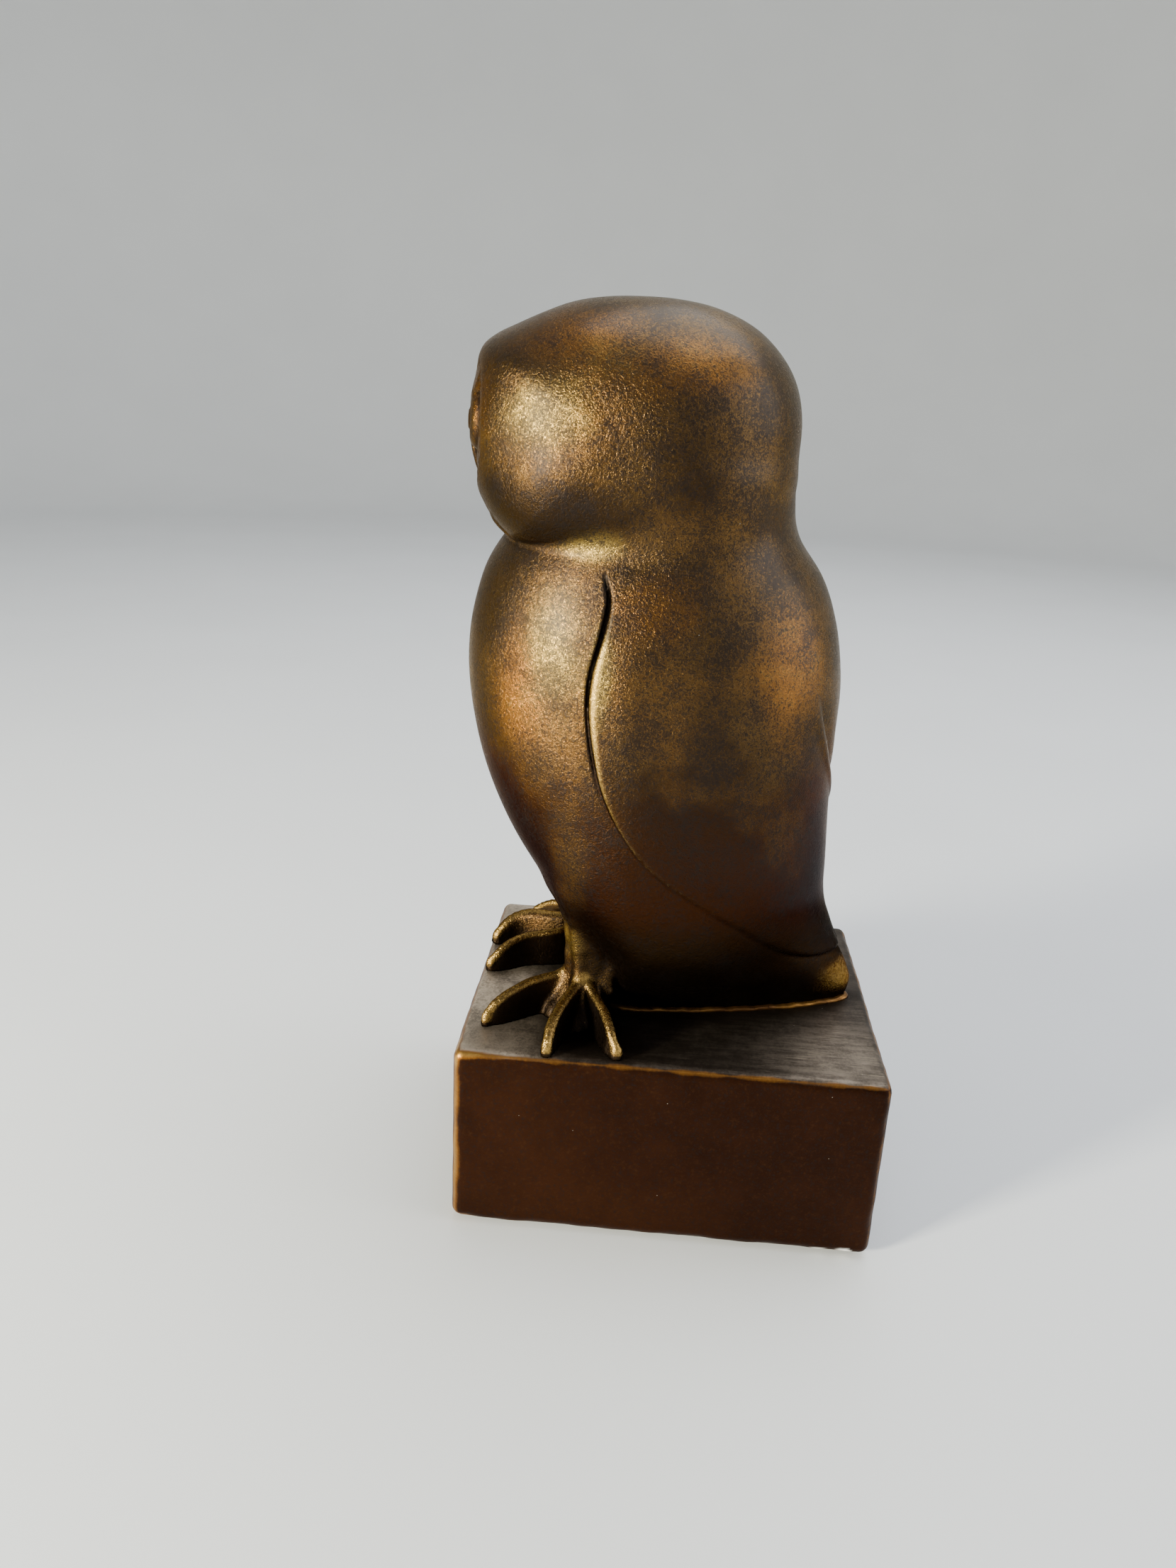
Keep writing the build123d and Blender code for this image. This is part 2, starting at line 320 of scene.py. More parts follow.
# Crests of the toes, from the ankle to the claw.
LEFT_TOES = [
    [(18.4, -29.2, 12.0, 1.9), (19.6, -31.8, 10.9, 1.5), (21.2, -35.4, 10.4, 1.5), (23.4, -38.8, 10.0, 1.5),
     (25.8, -41.6, 9.2, 1.5), (28.0, -44.3, 8.2, 1.5), (29.6, -46.4, 6.7, 1.5), (30.6, -47.8, 5.2, 1.1),
     (31.3, -48.6, 3.8, 1.4), (31.6, -48.9, 1.4, 1.0)],
    [(22.8, -24.8, 12.0, 2.0), (26.2, -26.4, 10.9, 1.6), (30.2, -28.0, 10.2, 1.7), (34.2, -29.3, 9.4, 1.7),
     (37.8, -30.3, 8.4, 1.7), (40.6, -30.9, 7.0, 1.7), (42.4, -31.2, 5.4, 1.25), (43.3, -31.3, 4.2, 1.6),
     (43.9, -31.4, 1.6, 1.2)],
    [(24.6, -22.2, 11.2, 1.8), (27.5, -20.8, 10.2, 1.5), (30.8, -19.1, 9.7, 1.5), (34.2, -17.5, 8.9, 1.5),
     (37.4, -16.3, 7.9, 1.5), (39.8, -15.4, 6.7, 1.5), (41.4, -14.5, 5.2, 1.15), (42.0, -13.8, 3.8, 1.75),
     (41.9, -13.4, 1.4, 1.2)],
]
RIGHT_TOES = [
    [(-14.5, -29.0, 12.4, 2.0), (-9.6, -31.2, 11.4, 1.6), (-7.1, -33.4, 10.9, 1.4),
     (-6.0, -37.0, 10.4, 1.5), (-5.2, -40.6, 10.0, 1.5), (-4.0, -43.8, 9.5, 1.5),
     (-1.9, -46.8, 8.6, 1.5), (0.0, -49.2, 7.2, 1.5), (1.2, -51.0, 5.4, 1.1), (1.4, -52.2, 3.8, 1.4),
     (0.8, -53.0, 1.4, 1.0)],
    [(-18.5, -29.5, 12.0, 2.6), (-18.0, -34.0, 10.6, 2.7), (-19.0, -39.0, 10.3, 2.9),
     (-19.8, -43.8, 9.9, 3.0), (-19.4, -47.4, 8.8, 2.8), (-17.8, -50.2, 7.2, 2.3),
     (-16.4, -52.0, 5.2, 1.8), (-16.0, -52.8, 3.8, 2.0), (-16.2, -53.2, 1.4, 1.4)],
    [(-21.4, -27.0, 11.4, 2.0), (-26.0, -31.0, 10.0, 1.6), (-30.4, -36.4, 9.0, 1.6),
     (-32.4, -39.8, 7.4, 1.5), (-34.0, -42.4, 5.4, 1.25), (-34.7, -43.6, 3.8, 1.55),
     (-35.0, -44.0, 1.4, 1.1)],
]
# The left leg's parts: the leg itself, its front, two ridges that catch the light and a hind toe's nub.
LEFT_LEG = [(17.2, -22.6, 0.0, 5.2), (17.2, -22.4, 11.0, 5.0), (17.2, -21.9, 18.0, 5.4),
            (16.6, -20.6, 26.0, 8.0), (15.0, -18.5, 37.0, 12.8)]
SHIN = [(19.0, -27.4, 10.0, 2.1), (19.3, -27.2, 17.0, 2.1), (19.6, -27.2, 23.0, 2.3),
        (19.6, -28.2, 30.0, 2.9), (19.5, -30.2, 37.0, 3.6)]
FRONT_RIDGE = [(23.2, -24.9, 10.4, 1.9), (23.3, -25.2, 13.0, 1.3), (23.5, -25.7, 20.0, 1.4),
               (24.2, -26.8, 29.0, 2.0), (25.4, -28.4, 38.0, 3.0)]
REAR_RIDGE = [(21.2, -18.8, 8.0, 1.5), (21.1, -17.2, 12.0, 1.35), (21.3, -15.7, 16.6, 1.4),
              (21.9, -14.2, 20.5, 1.5), (22.8, -11.6, 26.0, 2.2), (24.4, -8.0, 33.0, 3.4)]
HIND_NUB = [(21.6, -19.2, 8.6, 1.6), (23.0, -17.4, 8.2, 1.1)]
LEG_PARTS = [(LEFT_LEG, 4.0), (SHIN, 1.5), (FRONT_RIDGE, 1.0), (REAR_RIDGE, 1.0), (HIND_NUB, 0.8)]
RIGHT_ANKLE_SHIFT = (1.5, -1.5)
# Skin between the toes: two on the left foot, one on the right.
WEBS = [
    [(20.0, -24.5, 5.0, 5.4), (27.0, -25.0, 0.2, 4.0), (31.0, -25.6, -3.0, 3.0)],
    [(19.5, -28.0, 5.0, 3.6), (22.8, -31.0, 1.0, 2.9), (25.0, -33.0, -3.2, 2.2)],
    [(-18.5, -28.0, 5.0, 4.2), (-23.0, -33.6, 0.6, 3.0), (-25.2, -36.6, -3.0, 2.4)],
]
TOE_PATHS = [path_points(toe, 2) for toe in LEFT_TOES + RIGHT_TOES]


def mirrored(points):
    """Points of the left leg moved to the right leg."""
    shift_x, shift_y = RIGHT_ANKLE_SHIFT
    return [(-x + shift_x, y + shift_y, h, r) for x, y, h, r in points]


def legs_field(x, y, h):
    """Both legs, with a ridge down the front and the back of each, and the webs."""
    total = FAR
    parts = [(side(points), blend) for side in (list, mirrored) for points, blend in LEG_PARTS]
    for points, blend in parts + [(web, 1.0) for web in WEBS]:
        total = smooth_min(total, capsules(x, y, h, points, blend), 2.6)
    return total


def toes_field(x, y, h):
    total = FAR
    for crest in TOE_PATHS:
        total = smooth_min(total, toe_field(x, y, h, crest), 1.2)
    return total


# --- the whole owl
WEAVES = [(0.113, 0.071, 0.093, 0.4), (-0.067, 0.127, 0.059, 1.9), (0.091, -0.083, 0.119, 3.1),
          (0.171, 0.143, -0.131, 5.0), (-0.187, 0.159, 0.173, 2.2)]


def hand_unevenness(x, y, h):
    """Slow swells of a tenth of a millimetre or so, as a hand-finished casting has."""
    return sum(np.sin(x * a + y * b + h * c + d) for a, b, c, d in WEAVES) * 0.045


FACE_BACK, FACE_LOW, FACE_HIGH = -30, 118, 175
LEG_HEIGHT, FOOT_HEIGHT = 48, 20


def drilled(field, x, y, h):
    """The field with the blind holes that the CAD pins fill."""
    for pin in ("left_leg_rod", "right_leg_rod", "tail_dowel"):
        low, high = box_mm(pin)
        centre, radius = (low + high) / 2, (high[0] - low[0]) / 2
        in_bar = radius - np.hypot(x - centre[0], y - centre[1])
        in_slab = np.minimum(h - (low[2] - TOP), high[2] - TOP - h)
        field = np.maximum(field, np.minimum(in_bar, in_slab))
    return field


def owl_field(x, y, h):
    """Signed distance, nearly, to the owl's surface. Arrays of one dimension, in millimetres."""
    body = body_field(x, y, h) - wing_relief(x, y, h)
    head = head_field(x, y, h)
    front = (y < FACE_BACK) & (h > FACE_LOW) & (h < FACE_HIGH)
    if front.any():
        fx, fy, fh = x[front], y[front], h[front]
        head[front] -= face_relief(fx, fh) * ramp(-40, -47, fy) + chin_ruff(fx, fh) * ramp(-36, -42, fy)
    blend = 1.5 + 2 * ramp(-45, -28, y) + 10 * ramp(-28, 6, y)
    total = smooth_min(body, head, blend)
    low = h < LEG_HEIGHT
    if low.any():
        xs, ys, hs = x[low], y[low], h[low]
        legs = smooth_min(total[low], legs_field(xs, ys, hs), 1.5 + 4.5 * ramp(12, 26, hs))
        feet = hs < FOOT_HEIGHT
        if feet.any():
            legs[feet] = smooth_min(legs[feet], toes_field(xs[feet], ys[feet], hs[feet]), 1.6)
        total[low] = np.maximum(drilled(legs, xs, ys, hs), -hs)
    return total - hand_unevenness(x, y, h) * ramp(1.0, 4.0, h)


# --- from a field to a mesh
BLOCK = 4
GRID_MARGIN = 3


def sample_near_surface(field, xs, ys, zs, reach):
    """The field on a grid, exact near its surface and only of the right sign elsewhere."""
    shape = (len(xs), len(ys), len(zs))
    middles = [np.minimum(np.arange(0, length, BLOCK) + BLOCK // 2, length - 1) for length in shape]
    coarse = np.meshgrid(*(axis[m] for axis, m in zip((xs, ys, zs), middles)), indexing="ij")
    values = field(*[c.ravel() for c in coarse]).reshape(coarse[0].shape)
    for axis in range(3):
        values = np.repeat(values, BLOCK, axis)
    values = np.ascontiguousarray(values[: shape[0], : shape[1], : shape[2]])
    near = np.abs(values) < reach
    i, j, k = np.nonzero(near)
    values[near] = field(xs[i], ys[j], zs[k])
    return values


def surface_nets(values, xs, ys, zs):
    """One vertex in each grid cell that the surface crosses, and one quad round each crossed edge."""
    axes = (xs, ys, zs)
    inside = values < 0
    size = np.array(values.shape)
    corners = list(np.ndindex(2, 2, 2))
    windows = [tuple(slice(start, end) for start, end in zip(c, size - 1 + c)) for c in corners]
    count = sum(inside[window].astype(np.int8) for window in windows)
    cells = np.argwhere((count > 0) & (count < 8))
    index = np.full(size - 1, -1, np.int64)
    index[tuple(cells.T)] = np.arange(len(cells))
    total, crossings = np.zeros((len(cells), 3)), np.zeros(len(cells))
    for corner in corners:
        for axis in range(3):
            if corner[axis]:
                continue
            far = tuple(c + (a == axis) for a, c in enumerate(corner))
            here = values[tuple((cells + corner).T)]
            there = values[tuple((cells + far).T)]
            crossed = (here < 0) != (there < 0)
            point = np.tile(np.array(corner, float), (len(cells), 1))
            point[:, axis] = np.where(crossed, here / np.where(crossed, here - there, 1), 0)
            total += point * crossed[:, None]
            crossings += crossed
    share = total / crossings[:, None]
    points = np.stack([
        axes[a][cells[:, a]] * (1 - share[:, a]) + axes[a][cells[:, a] + 1] * share[:, a] for a in range(3)
    ], 1)
    quads = []
    for axis in range(3):
        low = inside[tuple(slice(0, size[a] - (a == axis)) for a in range(3))]
        high = inside[tuple(slice(int(a == axis), size[a]) for a in range(3))]
        edges = np.argwhere(low != high)
        one, two = (axis + 1) % 3, (axis + 2) % 3
        kept = (edges[:, one] > 0) & (edges[:, two] > 0)
        kept &= (edges[:, one] < size[one] - 1) & (edges[:, two] < size[two] - 1)
        edges = edges[kept]
        rising = low[tuple(edges.T)]
        ring = []
        for back_one, back_two in ((1, 1), (0, 1), (0, 0), (1, 0)):
            cell = edges.copy()
            cell[:, one] -= back_one
            cell[:, two] -= back_two
            ring.append(index[tuple(cell.T)])
        quad = np.stack(ring, 1)
        quad[~rising] = quad[~rising][:, ::-1]
        quads.append(quad)
    return points, np.concatenate(quads)


def slope(field, points, step):
    """Gradient of the field at points."""
    gradient = np.zeros(points.shape)
    for axis in range(3):
        offset = np.zeros(3)
        offset[axis] = step
        gradient[:, axis] = (field(*(points + offset).T) - field(*(points - offset).T)) / (2 * step)
    return gradient


def settle(field, points, quads, rounds=3, furthest=0.35):
    """Evens the vertices out along the surface and moves them onto it."""
    edges = np.concatenate([quads[:, [i, (i + 1) % 4]] for i in range(4)])
    for turn in range(rounds):
        if turn < rounds - 1:
            total = np.zeros(points.shape)
            for axis in range(3):
                total[:, axis] = np.bincount(edges[:, 0], points[edges[:, 1], axis], len(points))
            total /= np.maximum(np.bincount(edges[:, 0], minlength=len(points)), 1)[:, None]
            points = points + (total - points) * 0.5
        gradient = slope(field, points, 0.05)
        length2 = np.maximum((gradient**2).sum(1), 0.05)
        move = field(*points.T)[:, None] * gradient / length2[:, None]
        far = np.linalg.norm(move, axis=1, keepdims=True)
        points = points - move * np.minimum(1, furthest / np.maximum(far, 1e-9))
    return points


def wear(field, points, reach):
    """How exposed each vertex is, from -1 in a groove to 1 on a sharp edge, at one scale in mm."""
    gradient = slope(field, points, 0.1)
    normal = gradient / np.maximum(np.linalg.norm(gradient, axis=1, keepdims=True), 1e-6)
    outside = field(*(points + normal * reach).T)
    inside = -field(*(points - normal * reach).T)
    return np.clip((outside - inside) / reach, -1, 1)


def centre_line(points, shift_x=0.0):
    """A path's points without their thickness."""
    return [(x + shift_x, y, h, 0.0) for x, y, h, _ in points]


TOE_LINES = [centre_line(toe) for toe in LEFT_TOES + RIGHT_TOES]
WIDE_TOE_LINE = TOE_LINES[len(LEFT_TOES) + 1]
FRONT_LINE, REAR_LINE = (centre_line(ridge, 1.0) for ridge in (FRONT_RIDGE, REAR_RIDGE))
KNOB = (24.2, -24.2, 12.2)
# How strongly the wing's rim is gilded, by height.
RIM_GILT = curve([(15, 0.45), (22, 0.3), (34, 0.25), (50, 0.35), (62, 0.4), (74, 0.55), (86, 1.0),
                  (98, 1.0), (104, 0.5), (108, 0.0)])


def along_lines(x, y, h, far, near, *lines):
    """1 within near of any of the lines, falling to 0 at far."""
    gaps = [capsules(x, y, h, line, 0.01) for line in lines]
    return ramp(far, near, np.min(gaps, axis=0))


def owl_gilding(x, y, h):
    """Where gold was rubbed on by hand: toe crests, leg ridges, the wing's rim and the tail."""
    gilt = np.zeros(x.shape)
    low = h < 40
    xs, ys, hs = x[low], y[low], h[low]
    toes = along_lines(xs, ys, hs, 2.6, 1.2, *TOE_LINES) * ramp(0.4, 2.0, hs)
    toes *= 0.74 + 0.22 * ramp(6.5, 4.0, hs)
    shift_x, shift_y = RIGHT_ANKLE_SHIFT
    ridges = np.zeros(xs.shape)
    for leg_x, leg_y in ((xs, ys), (shift_x - xs, ys - shift_y)):
        front = 0.36 * along_lines(leg_x, leg_y, hs, 4.6, 0.8, FRONT_LINE) * ramp(30, 13, hs)
        rear = 0.22 * along_lines(leg_x, leg_y, hs, 3.6, 0.8, REAR_LINE) * ramp(28, 16, hs)
        from_knob = np.sqrt(sum((v - k) ** 2 for v, k in zip((leg_x, leg_y, hs), KNOB)))
        ridges = np.max([ridges, front, rear, 0.9 * ramp(3.2, 0.8, from_knob)], axis=0)
    gilt[low] = np.maximum(toes, ridges)
    inside, edge_h = signed_to_path(y, h, WING_PATH)
    rim = RIM_GILT(edge_h) * ramp(-0.3, 0.3, inside) * ramp(2.8, 0.7, inside)
    rim *= ramp(10, 20, np.abs(x)) * (h < WING_TOP)
    tail = 0.72 * ramp(28, 48, y) * ramp(18.0, 11.0, h) * ramp(0, 6, h)
    return np.maximum(gilt, np.maximum(rim, tail))


def owl_painted_shade(x, y, h):
    """Painted shade: the slit, between the toes and under the body darkened."""
    inside, edge_h = signed_to_path(y, h, WING_PATH)
    slit = ramp(0.80, 0.25, np.abs(inside + SLIT_HALF(edge_h))) * ramp(4, 9, np.abs(x))
    slit *= (0.40 + 0.60 * ramp(88, 104, h)) * ramp(66, 86, h) * (h <= WING_TOP)
    under = 0.5 * ramp(14, 2, h) * ramp(-15, -8, y) * ramp(44, 34, y)
    wide_toe = along_lines(x, y, h, 4.0, 2.0, WIDE_TOE_LINE) * ramp(2, 5, h)
    toes = 0.75 * ramp(8.5, 2.5, h) * ramp(-14, -18, y) * (1 - wide_toe)
    return np.maximum(slit, np.maximum(under, toes))


def placed(name, data):
    """A new object in the scene."""
    obj = bpy.data.objects.new(name, data)
    bpy.context.scene.collection.objects.link(obj)
    return obj


def mesh_object(name, points, faces):
    """A smooth Blender mesh from points in millimetres above the table."""
    mesh = bpy.data.meshes.new(name)
    mesh.from_pydata((points * MM).tolist(), [], faces.tolist())
    mesh.validate()
    mesh.polygons.foreach_set("use_smooth", np.ones(len(mesh.polygons), bool))
    return placed(name, mesh)


def grid_faces(rows, columns):
    """Quads of a grid whose points go row by row, and which closes on itself both ways."""
    index = np.arange(rows * columns).reshape(rows, columns)
    below = np.roll(index, -1, 0)
    return np.stack([index, below, np.roll(below, -1, 1), np.roll(index, -1, 1)], 2).reshape(-1, 4)


def store(obj, name, values):
    """One number for each vertex, which a material can read."""
    attribute = obj.data.attributes.new(name, "FLOAT", "POINT")
    attribute.data.foreach_set("value", np.asarray(values, np.float32))


def sculpt(name, field, xs, ys, hs, reach):
    """Meshes a field whose third axis is height above the plinth, exact within reach of its surface."""
    values = sample_near_surface(field, xs, ys, hs, reach)
    points, quads = surface_nets(values, xs, ys, hs)
    points = settle(field, points, quads)
    return mesh_object(name, points + [0, 0, TOP], quads), points


def spaced(*spans):
    """Grid lines from (low, high, spacing) spans that follow each other."""
    parts = [np.linspace(low, high, round((high - low) / gap), endpoint=False) for low, high, gap in spans]
    return np.concatenate(parts + [[spans[-1][1]]])


def make_owl():
    side, front, back = OWL_HIGH[0] + GRID_MARGIN, OWL_LOW[1] - GRID_MARGIN, OWL_HIGH[1] + GRID_MARGIN
    xs = spaced((-side, side, 0.72))
    ys = spaced((front, -28, 0.72), (-28, -18, 0.42), (-18, back, 0.86))
    hs = spaced((-0.9, 15, 0.56), (15, CROWN + GRID_MARGIN, 0.8))
    obj, points = sculpt("owl_cast", owl_field, xs, ys, hs, reach=4.2)
    above_foot = ramp(0.5, 2.5, points[:, 2])
    for name, reach in (("fine_wear", 0.9), ("broad_wear", 3.0)):
        store(obj, name, wear(owl_field, points, reach) * above_foot)
    store(obj, "gilding", owl_gilding(*points.T))
    # painted shade, stored for the material
    store(obj, "painted_shade", owl_painted_shade(*points.T))
    return obj


# --- plinth
PLINTH_RADIUS = 2.6
# Chips broken out of the edges: X, Y and height above the table, and how deep.
CHIPS = [(45.8, 42.0, 1.0, 1.045), (45.9, 48.5, 1.3, 1.21), (-45.8, 12.0, 1.2, 1.1),
         (-20.0, 55.4, 1.2, 0.99)]
CHIP_STRETCH = 1.5


def from_chips(x, y, z):
    """Each chip's depth, and how far the points are from its middle."""
    for chip_x, chip_y, chip_z, deep in CHIPS:
        across, along, up = x - chip_x, (y - chip_y) / CHIP_STRETCH, z - chip_z
        yield deep, np.sqrt(across**2 + along**2 + up**2)


def plinth_field(x, y, h):
    """The block, with rubbed and slightly wavy edges and a few chips."""
    z = h + TOP
    centre, half = (PLINTH_LOW + PLINTH_HIGH) / 2, (PLINTH_HIGH - PLINTH_LOW) / 2
    wave = 0.5 * np.sin(0.21 * y + 0.13 * x + 0.9) + 0.35 * np.sin(0.47 * z + 0.31 * y + 0.37 * x)
    wave += 0.3 * np.sin(0.83 * x - 0.71 * y + 0.63 * z + 2.1)
    radius = PLINTH_RADIUS + 0.45 * wave
    past = [np.abs(v - c) - (s - radius) for v, c, s in zip((x, y, z), centre, half)]
    block = np.linalg.norm(np.maximum(past, 0), axis=0) + np.minimum(np.max(past, axis=0), 0) - radius
    ragged = 0.25 * np.sin(3.1 * y + 2.3 * z) + 0.2 * np.sin(2.7 * x - 3.7 * y)
    for deep, away in from_chips(x, y, z):
        block = smooth_max(block, deep + ragged - away, 0.35)
    return drilled(block, x, y, h)


def fine_at_edges(low, high):
    """Grid lines across the plinth, close together only near its edges."""
    return spaced((low - 2, low + 5, 0.6), (low + 5, high - 5, 1.6), (high - 5, high + 2, 0.6))


def make_plinth():
    raised = np.array([0, 0, TOP])
    grid = (fine_at_edges(low, high) for low, high in zip(PLINTH_LOW - raised, PLINTH_HIGH - raised))
    obj, points = sculpt("plinth_cast", plinth_field, *grid, reach=6.5)
    x, y, z = (points + raised).T
    # painted shadow: the top darker under the owl and close round it, fading out towards the front
    beside = owl_field(x, y, np.full(len(x), 1.0))
    shade = ramp(15, 0, beside) * ramp(-40, -24, y + 0.3 * np.minimum(30 - x, 0))
    shade = np.minimum(shade + 0.35 * ramp(5, 0, beside), 1)
    store(obj, "painted_shade", shade * ramp(TOP - 1, TOP - 0.2, z) * ramp(43, 36, np.abs(x)))
    # the rubbed edges: where two of the faces are near
    to_level = np.minimum(TOP - z, z - PLINTH_LOW[2])
    to_edge = np.sort([PLINTH_HIGH[0] - np.abs(x), PLINTH_HIGH[1] - np.abs(y), to_level], axis=0)[1]
    wander = 0.5 * np.sin(0.37 * y + 0.31 * z + 0.2 * x) + 0.4 * np.sin(0.9 * z - 0.8 * y + 1.3 * x)
    # the top edges and the front corner get more gold: rubbed gold with a painted highlight where the rounded
    # edges catch the lamp
    front_corner_highlight = ramp(45, 52, -y) * ramp(30, 42, x)
    strength = np.minimum(0.40 + 0.30 * ramp(TOP - 6, TOP - 1, z) + 0.46 * front_corner_highlight, 1)
    store(obj, "edge", ramp(1.7 + 0.5 * wander + 1.2 * front_corner_highlight, 0.5, to_edge) * strength)
    bare = [ramp(deep + 0.75, deep + 0.3, away) for deep, away in from_chips(x, y, z)]
    store(obj, "bare", np.max(bare, axis=0))
    return obj


# --- bedding bead round the foot of the body
BEAD_STEPS, BEAD_RING = 360, 12
BEAD_OUT, BEAD_HALF, BEAD_RISE = 0.55, 1.10, 0.95


def make_bead():
    """A thin uneven bead that follows the body's lowest section."""
    front, back, half, widest, full_front, full_back = BODY[0][1:]
    angles = np.linspace(0, 2 * np.pi, BEAD_STEPS, endpoint=False)
    across, along = np.cos(angles), np.sin(angles)
    full = np.where(along > 0, full_back, full_front)
    reach = np.where(along > 0, back - widest, widest - front)
    x = half * np.abs(across) ** (2 / full) * np.sign(across)
    y = widest + reach * np.abs(along) ** (2 / full) * np.sign(along)
    lengths = np.concatenate([[0], np.cumsum(np.hypot(np.diff(x), np.diff(y)))])
    even = np.linspace(0, lengths[-1], BEAD_STEPS, endpoint=False)
    x, y = np.interp(even, lengths, x), np.interp(even, lengths, y)
    tangent = np.stack([np.roll(x, -1) - np.roll(x, 1), np.roll(y, -1) - np.roll(y, 1)], 1)
    tangent /= np.linalg.norm(tangent, axis=1, keepdims=True)
    normal = np.stack([tangent[:, 1], -tangent[:, 0]], 1)
    turn = np.arange(BEAD_STEPS)
    wide = BEAD_HALF * (1 + 0.10 * np.sin(turn * 0.21) + 0.06 * np.sin(turn * 0.53 + 1))
    tall = BEAD_RISE * (1 + 0.12 * np.sin(turn * 0.37 + 2) + 0.08 * np.sin(turn * 0.83))
    angle = 2 * np.pi * np.arange(BEAD_RING) / BEAD_RING
    out = BEAD_OUT + wide[:, None] * np.cos(angle)
    rise = np.maximum(tall[:, None] * np.sin(angle), -0.05)
    points = np.stack([x[:, None] + normal[:, :1] * out, y[:, None] + normal[:, 1:] * out, TOP + rise], 2)
    return mesh_object("bead_line", points.reshape(-1, 3), grid_faces(BEAD_STEPS, BEAD_RING))


# --- materials
class Finish:
    """A material's node tree, with short ways to add to it. Lengths in it are millimetres."""

    def __init__(self, name):
        self.material = bpy.data.materials.new(name)
        self.material.use_nodes = True
        self.tree = self.material.node_tree
        self.shader = self.tree.nodes["Principled BSDF"]
        self.place = self.scaled(self.node("TexCoord", {}, "Object"), [1 / MM] * 3)

    def put(self, socket, value):
        if isinstance(value, bpy.types.NodeSocket):
            self.tree.links.new(value, socket)
        else:
            socket.default_value = value

    def node(self, kind, inputs, output=0, **settings):
        """Adds a node with these inputs and settings, and gives one of its outputs."""
        node = self.tree.nodes.new("ShaderNode" + kind)
        for name, value in settings.items():
            setattr(node, name, value)
        for name, value in inputs.items():
            self.put(node.inputs[name], value)
        return node.outputs[output]

    def math(self, operation, a, b):
        return self.node("Math", {0: a, 1: b}, operation=operation)

    def times(self, a, b):
        return self.math("MULTIPLY", a, b)

    def scaled(self, vector, factors):
        return self.node("VectorMath", {0: vector, 1: factors}, operation="MULTIPLY")

    def total(self, *terms):
        """The sum of sockets and numbers, each of which may come with a factor."""
        result = 0.0
        for term in terms:
            value, factor = term if isinstance(term, tuple) else (term, 1.0)
            result = self.math("ADD", result, value if factor == 1.0 else self.times(value, factor))
        return result

    def between(self, value, low, high, to_low=0.0, to_high=1.0):
        """A smooth step from to_low at low to to_high at high."""
        numbers = enumerate((value, low, high, to_low, to_high))
        return self.node("MapRange", dict(numbers), interpolation_type="SMOOTHSTEP")

    def noise(self, size, detail, rough, stretch=None, shift=0.0, twist=0.0):
        """Noise round 0.5 whose features are about size across, stretched along an axis or twisted."""
        where = self.scaled(self.place, [1 / s for s in stretch]) if stretch else self.place
        if shift:
            where = self.node("VectorMath", {0: where, 1: (shift, shift * 1.7, -shift * 2.3)})
        return self.node("TexNoise", {"Vector": where, "Scale": 0.5 / size, "Detail": detail,
                                      "Roughness": rough, "Distortion": twist}, "Fac")

    def specks(self, spacing, radius):
        """1 inside small separate dots, 0 outside them."""
        away = self.node("TexVoronoi", {"Vector": self.place, "Scale": 1 / spacing}, "Distance")
        return self.between(away, radius / spacing, radius / spacing * 0.5)

    def read(self, name):
        return self.node("Attribute", {}, "Fac", attribute_name=name)

    def axis(self, vector, name):
        return self.node("SeparateXYZ", {0: vector}, name)

    def facing(self, name):
        """How much the surface faces along an axis, from -1 to 1."""
        return self.axis(self.node("NewGeometry", {}, "Normal"), name)

    def mix(self, amount, a, b):
        a, b = ((*colour, 1.0) if isinstance(colour, tuple) else colour for colour in (a, b))
        return self.node("Mix", {0: amount, 6: a, 7: b}, 2, data_type="RGBA")

    def bump(self, height, distance, strength, after=None):
        """Relief whose height runs from 0 to 1, distance millimetres deep."""
        inputs = {"Height": height, "Distance": distance * MM, "Strength": strength}
        if after is not None:
            inputs["Normal"] = after
        return self.node("Bump", inputs, "Normal")

    def near(self, point, sizes):
        """1 at a point in mm above the table, falling to 0 at sizes away from it."""
        away = self.node("VectorMath", {0: self.place, 1: point}, operation="SUBTRACT")
        away = self.scaled(away, [1 / s for s in sizes])
        return self.between(self.node("VectorMath", {0: away}, "Value", operation="LENGTH"), 1.0, 0.0)

    def finish(self, colour, metallic, roughness, normal, **others):
        inputs = {"Base Color": colour, "Metallic": metallic, "Roughness": roughness, "Normal": normal}
        for name, value in (inputs | others).items():
            if value is not None:
                self.put(self.shader.inputs[name.replace("_", " ")], value)
        return self.material


# Colours of the paint. The wash is warmer low on the body than at the head and on the feet; that warmth low
# down is a painted reflection of a brown surface below.
UMBER = (0.026, 0.0072, 0.0026)
HIGH_UMBER = (0.020, 0.0115, 0.0055)
FOOT_UMBER = (0.024, 0.0125, 0.0042)
SHADE_COLOUR = (0.0135, 0.0086, 0.0054)
SPECK = (0.016, 0.0122, 0.0110)
BROWN = (0.094, 0.051, 0.0165)
RUST = (0.210, 0.084, 0.015)
OLD_GOLD = (0.315, 0.210, 0.050)
GOLD = (0.500, 0.310, 0.085)
DUST = (0.400, 0.370, 0.320)
PLASTER = (0.780, 0.760, 0.720)
